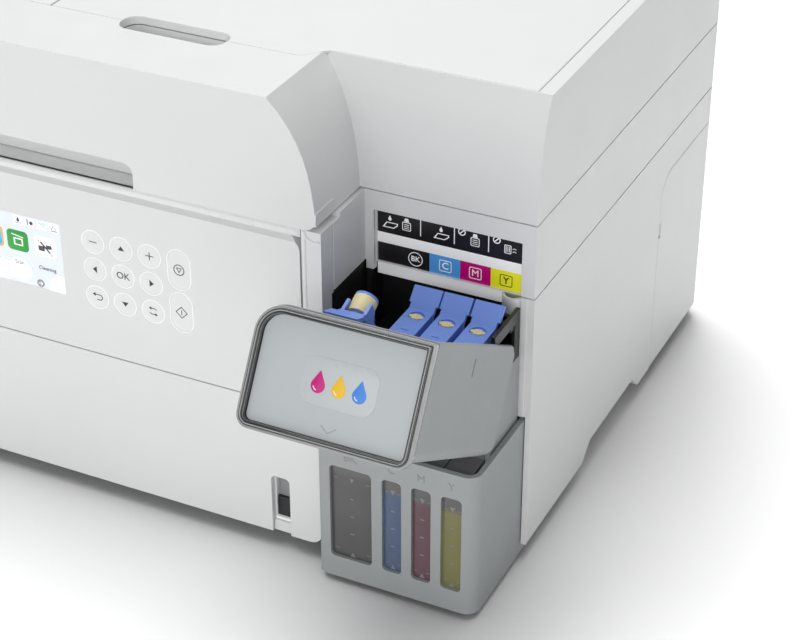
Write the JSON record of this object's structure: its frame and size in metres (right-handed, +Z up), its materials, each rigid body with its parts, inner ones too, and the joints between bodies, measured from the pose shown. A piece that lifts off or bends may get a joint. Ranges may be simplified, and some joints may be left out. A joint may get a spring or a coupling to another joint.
{
  "type": "ink-tank inkjet printer",
  "caption": "Boxy white ink-tank printer with scanner, flat-topped document feeder, tilting control panel, paper cassette, refill tanks and a forward-folding tank lid.",
  "frame": {"origin": "middle of the overall footprint on the table, with the tank lid open", "axes": "+X to the printer's right as seen from the front, +Y to the back, +Z up"},
  "size_m": [0.375, 0.4158, 0.231],
  "materials": {
    "shell_white": "fine-grained moulded",
    "tank_grey": "satin",
    "frame_black": "satin",
    "tank_clear": "translucent moulded",
    "cap_blue": "satin",
    "bezel_smoke": "smoky polished",
    "face_grey": "satin",
    "label_white": "printed film",
    "mat_white": "foam-backed sheet",
    "screen": "polished",
    "glass": "polished",
    "steel": "brushed",
    "rubber": "matte",
    "cap_cream": "satin",
    "symbol_dark": "printed",
    "ink_black": "wet",
    "ink_cyan": "wet",
    "ink_magenta": "wet",
    "ink_yellow": "wet"
  },
  "bodies": {
    "case": {"lower_case": "shell_white", "inner_frame": "frame_black", "maintenance_box": "tank_clear", "power_inlet": "frame_black", "foot_front_left": "rubber", "foot_front_right": "rubber", "foot_rear_left": "rubber", "foot_rear_right": "rubber", "tank_housing": "tank_grey", "ink_tank_black": "tank_clear", "ink_tank_cyan": "tank_clear", "ink_tank_magenta": "tank_clear", "ink_tank_yellow": "tank_clear", "port_block": "frame_black", "lid_catch": "frame_black", "carriage_frame": "steel", "carriage_rail": "steel", "platen": "frame_black"},
    "maintenance_cover": {"maintenance_cover": "shell_white"},
    "tank_lid": {"lid_hood": "tank_grey", "lid_bezel": "bezel_smoke", "lid_face": "face_grey"},
    "cap_black": {"cap_lever_black": "cap_blue"},
    "cap_cyan": {"cap_lever_cyan": "cap_blue"},
    "cap_magenta": {"cap_lever_magenta": "cap_blue"},
    "cap_yellow": {"cap_lever_yellow": "cap_blue"},
    "scanner": {"scanner_case": "shell_white", "label_plate": "label_white", "platen_glass": "glass", "scan_rail": "steel"},
    "scan_bar": {"scan_bar": "frame_black"},
    "document_cover": {"cover_shell": "shell_white", "document_mat": "mat_white", "adf_deck": "shell_white"},
    "adf_cover": {"adf_cover": "shell_white"},
    "adf_input_tray": {"adf_input_tray": "shell_white"},
    "adf_guide_front": {"adf_guide_front": "frame_black"},
    "adf_guide_rear": {"adf_guide_rear": "frame_black"},
    "adf_feed_roller": {"adf_feed_roller": "rubber"},
    "control_panel": {"panel_housing": "shell_white", "display_screen": "screen"},
    "cassette": {"cassette": "shell_white"},
    "cassette_guide": {"cassette_guide": "frame_black"},
    "output_tray": {"output_tray": "frame_black"},
    "output_stop": {"output_stop": "frame_black"},
    "carriage": {"carriage": "frame_black"},
    "feed_roller": {"feed_roller": "steel"},
    "eject_roller": {"eject_roller": "rubber"},
    "rear_cover": {"rear_cover": "shell_white"},
    "button_minus": {"button_minus": "shell_white"},
    "button_up": {"button_up": "shell_white"},
    "button_plus": {"button_plus": "shell_white"},
    "button_left": {"button_left": "shell_white"},
    "button_ok": {"button_ok": "shell_white"},
    "button_right": {"button_right": "shell_white"},
    "button_back": {"button_back": "shell_white"},
    "button_down": {"button_down": "shell_white"},
    "button_help": {"button_help": "shell_white"},
    "button_stop": {"button_stop": "shell_white"},
    "button_start": {"button_start": "shell_white"}
  },
  "joints": [
    {"name": "maintenance_cover_slide", "type": "slide", "parent": "case", "child": "maintenance_cover", "axis": [1, 0, 0], "range_m": [0, 0.03]},
    {"name": "lid_hinge", "type": "hinge", "parent": "case", "child": "tank_lid", "pos_m": [0, -0.13111, 0.0934], "axis": [1, 0, 0], "range_deg": [-59.6, 0]},
    {"name": "cap_black_hinge", "type": "hinge", "parent": "case", "child": "cap_black", "pos_m": [0.1299, -0.13211, 0.1305], "axis": [1, 0, 0], "range_deg": [-116, 0]},
    {"name": "cap_cyan_hinge", "type": "hinge", "parent": "case", "child": "cap_cyan", "pos_m": [0.1442, -0.13211, 0.1305], "axis": [1, 0, 0], "range_deg": [0, 115]},
    {"name": "cap_magenta_hinge", "type": "hinge", "parent": "case", "child": "cap_magenta", "pos_m": [0.1584, -0.13211, 0.1305], "axis": [1, 0, 0], "range_deg": [0, 115]},
    {"name": "cap_yellow_hinge", "type": "hinge", "parent": "case", "child": "cap_yellow", "pos_m": [0.1728, -0.13211, 0.1305], "axis": [1, 0, 0], "range_deg": [0, 115]},
    {"name": "scanner_lift", "type": "hinge", "parent": "case", "child": "scanner", "pos_m": [0, 0.16069, 0.1402], "axis": [-1, 0, 0], "range_deg": [0, 40]},
    {"name": "scan_bar_slide", "type": "slide", "parent": "scanner", "child": "scan_bar", "axis": [1, 0, 0], "range_m": [0, 0.3]},
    {"name": "cover_lift", "type": "hinge", "parent": "scanner", "child": "document_cover", "pos_m": [0, 0.16069, 0.1758], "axis": [-1, 0, 0], "range_deg": [0, 70]},
    {"name": "adf_cover_hinge", "type": "hinge", "parent": "document_cover", "child": "adf_cover", "pos_m": [-0.1839, 0.02089, 0.2303], "axis": [0, -1, 0], "range_deg": [0, 80]},
    {"name": "adf_tray_hinge", "type": "hinge", "parent": "document_cover", "child": "adf_input_tray", "pos_m": [-0.0486, 0.02089, 0.2305], "axis": [0, -1, 0], "range_deg": [0, 60]},
    {"name": "adf_guide_front_slide", "type": "slide", "parent": "document_cover", "child": "adf_guide_front", "axis": [0, 1, 0], "range_m": [0, 0.05]},
    {"name": "adf_guide_rear_slide", "type": "slide", "parent": "document_cover", "child": "adf_guide_rear", "axis": [0, -1, 0], "range_m": [0, 0.05]},
    {"name": "adf_feed_roller_spin", "type": "hinge", "parent": "document_cover", "child": "adf_feed_roller", "pos_m": [-0.092, 0.02089, 0.203], "axis": [0, 1, 0], "continuous": true},
    {"name": "panel_tilt", "type": "hinge", "parent": "case", "child": "control_panel", "pos_m": [-0.044, -0.12661, 0.1661], "axis": [-1, 0, 0], "range_deg": [0, 55]},
    {"name": "output_tray_slide", "type": "slide", "parent": "case", "child": "output_tray", "axis": [0, -1, 0], "range_m": [0, 0.071]},
    {"name": "output_stop_hinge", "type": "hinge", "parent": "output_tray", "child": "output_stop", "pos_m": [-0.026, -0.10921, 0.0881], "axis": [1, 0, 0], "range_deg": [0, 70]},
    {"name": "cassette_slide", "type": "slide", "parent": "case", "child": "cassette", "axis": [0, -1, 0], "range_m": [0, 0.2]},
    {"name": "cassette_guide_slide", "type": "slide", "parent": "cassette", "child": "cassette_guide", "axis": [-1, 0, 0], "range_m": [0, 0.06]},
    {"name": "carriage_slide", "type": "slide", "parent": "case", "child": "carriage", "axis": [-1, 0, 0], "range_m": [0, 0.26]},
    {"name": "feed_roller_spin", "type": "hinge", "parent": "case", "child": "feed_roller", "pos_m": [0, 0.01589, 0.093], "axis": [1, 0, 0], "continuous": true},
    {"name": "eject_roller_spin", "type": "hinge", "parent": "case", "child": "eject_roller", "pos_m": [0, -0.03111, 0.093], "axis": [1, 0, 0], "continuous": true},
    {"name": "rear_cover_slide", "type": "slide", "parent": "case", "child": "rear_cover", "axis": [0, 1, 0], "range_m": [0, 0.08]},
    {"name": "button_minus_press", "type": "slide", "parent": "control_panel", "child": "button_minus", "axis": [0, 1, 0], "range_m": [0, 0.0008], "stiffness_N_per_m": 900, "springref_m": -0.0012},
    {"name": "button_up_press", "type": "slide", "parent": "control_panel", "child": "button_up", "axis": [0, 1, 0], "range_m": [0, 0.0008], "stiffness_N_per_m": 900, "springref_m": -0.0012},
    {"name": "button_plus_press", "type": "slide", "parent": "control_panel", "child": "button_plus", "axis": [0, 1, 0], "range_m": [0, 0.0008], "stiffness_N_per_m": 900, "springref_m": -0.0012},
    {"name": "button_left_press", "type": "slide", "parent": "control_panel", "child": "button_left", "axis": [0, 1, 0], "range_m": [0, 0.0008], "stiffness_N_per_m": 900, "springref_m": -0.0012},
    {"name": "button_ok_press", "type": "slide", "parent": "control_panel", "child": "button_ok", "axis": [0, 1, 0], "range_m": [0, 0.0008], "stiffness_N_per_m": 900, "springref_m": -0.0012},
    {"name": "button_right_press", "type": "slide", "parent": "control_panel", "child": "button_right", "axis": [0, 1, 0], "range_m": [0, 0.0008], "stiffness_N_per_m": 900, "springref_m": -0.0012},
    {"name": "button_back_press", "type": "slide", "parent": "control_panel", "child": "button_back", "axis": [0, 1, 0], "range_m": [0, 0.0008], "stiffness_N_per_m": 900, "springref_m": -0.0012},
    {"name": "button_down_press", "type": "slide", "parent": "control_panel", "child": "button_down", "axis": [0, 1, 0], "range_m": [0, 0.0008], "stiffness_N_per_m": 900, "springref_m": -0.0012},
    {"name": "button_help_press", "type": "slide", "parent": "control_panel", "child": "button_help", "axis": [0, 1, 0], "range_m": [0, 0.0008], "stiffness_N_per_m": 900, "springref_m": -0.0012},
    {"name": "button_stop_press", "type": "slide", "parent": "control_panel", "child": "button_stop", "axis": [0, 1, 0], "range_m": [0, 0.0008], "stiffness_N_per_m": 900, "springref_m": -0.0012},
    {"name": "button_start_press", "type": "slide", "parent": "control_panel", "child": "button_start", "axis": [0, 1, 0], "range_m": [0, 0.0008], "stiffness_N_per_m": 900, "springref_m": -0.0012}
  ],
  "couplings": [
    {"joint": "cap_black_hinge", "follows": "lid_hinge", "ratio": 1.9463},
    {"joint": "output_tray_slide", "follows": "panel_tilt", "m_per_rad": 0.0729},
    {"joint": "adf_guide_rear_slide", "follows": "adf_guide_front_slide", "ratio": 1},
    {"joint": "eject_roller_spin", "follows": "feed_roller_spin", "ratio": 1.2857}
  ]
}
